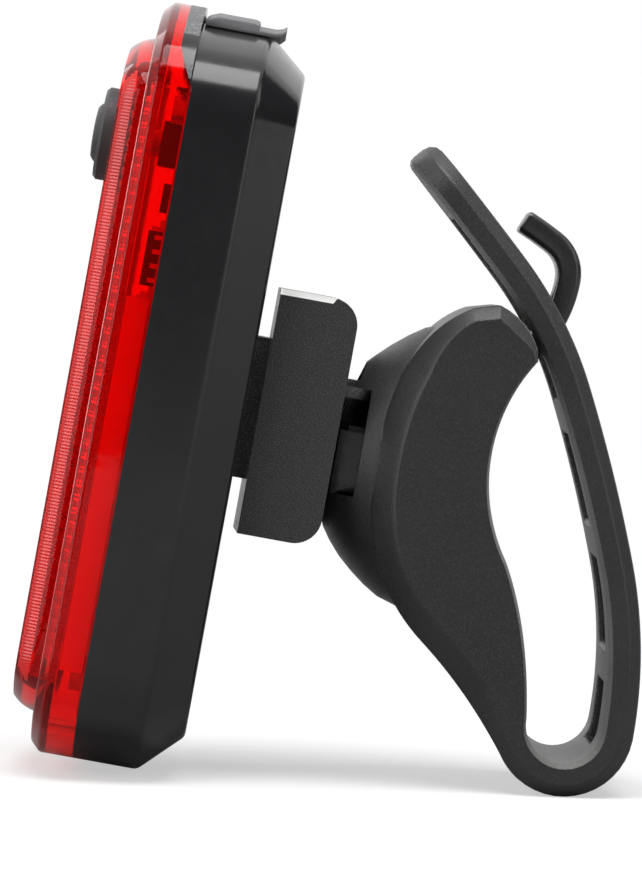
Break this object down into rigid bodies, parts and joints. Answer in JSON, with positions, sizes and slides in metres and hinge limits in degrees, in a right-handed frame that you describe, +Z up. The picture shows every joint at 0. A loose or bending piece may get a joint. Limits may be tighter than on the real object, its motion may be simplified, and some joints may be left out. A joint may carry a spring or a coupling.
{
  "type": "bike rear light",
  "caption": "Slim rectangular bike rear light with a red lens, press button and port cover, on a slide-on swivel bracket with a rubber tube saddle, hook and ladder strap.",
  "frame": {"origin": "middle of the footprint, on the surface that the light and its strap bend stand on", "axes": "+Z up, -Y the way the lens faces, +Y towards the strap, X across the width"},
  "size_m": [0.034, 0.0564, 0.0701],
  "materials": {
    "lens": "clear red moulded",
    "housing": "gloss black moulded",
    "board": "solder mask",
    "led": "pale resin",
    "guide": "clear ribbed",
    "chip": "moulded epoxy",
    "metal": "plated",
    "brass": "turned",
    "cell": "foil pouch",
    "foam": "foam",
    "leads": "insulated wire",
    "rubber": "soft matte",
    "bracket": "grained",
    "silicone": "matte silicone"
  },
  "bodies": {
    "saddle": {"saddle_pad": "silicone", "swivel_bush": "bracket", "strap_hook": "bracket", "screw_plug": "rubber"},
    "bracket": {"bracket_block": "bracket", "latch_spring": "metal", "thread_insert": "brass", "swivel_washer": "metal", "spring_washer": "metal", "swivel_screw": "metal"},
    "light": {"lens": "lens", "housing": "housing", "circuit_board": "board", "led_strip": "led", "led_chips": "led", "light_guide": "guide", "driver_chip": "chip", "small_components": "chip", "switch_body": "chip", "usb_socket": "metal", "battery_cell": "cell", "battery_pad": "foam", "battery_leads": "leads", "board_screws": "metal", "mount_rail": "housing", "rail_screws": "metal", "cover_anchor": "rubber"},
    "button": {"button_cap": "rubber", "switch_plunger": "led"},
    "cover": {"port_cover": "rubber"},
    "strap": {"strap": "silicone"}
  },
  "joints": [
    {"name": "swivel", "type": "hinge", "parent": "saddle", "child": "bracket", "pos_m": [0, 0.00022, 0.03247], "axis": [0, 0.9906, -0.1371], "range_deg": [-90, 90]},
    {"name": "light_slide", "type": "slide", "parent": "bracket", "child": "light", "axis": [0, 0.1371, 0.9906], "range_m": [0, 0.02]},
    {"name": "button_press", "type": "slide", "parent": "light", "child": "button", "axis": [0, 0.9906, -0.1371], "range_m": [0, 0.0006], "stiffness_N_per_m": 2500},
    {"name": "cover_swing", "type": "hinge", "parent": "light", "child": "cover", "pos_m": [0, -0.01332, 0.06923], "axis": [1, 0, 0], "range_deg": [0, 110]},
    {"name": "strap_swing", "type": "hinge", "parent": "saddle", "child": "strap", "pos_m": [0, 0.02538, 0.00128], "axis": [-1, 0, 0], "range_deg": [0, 55], "stiffness_Nm_per_rad": 0.02}
  ]
}
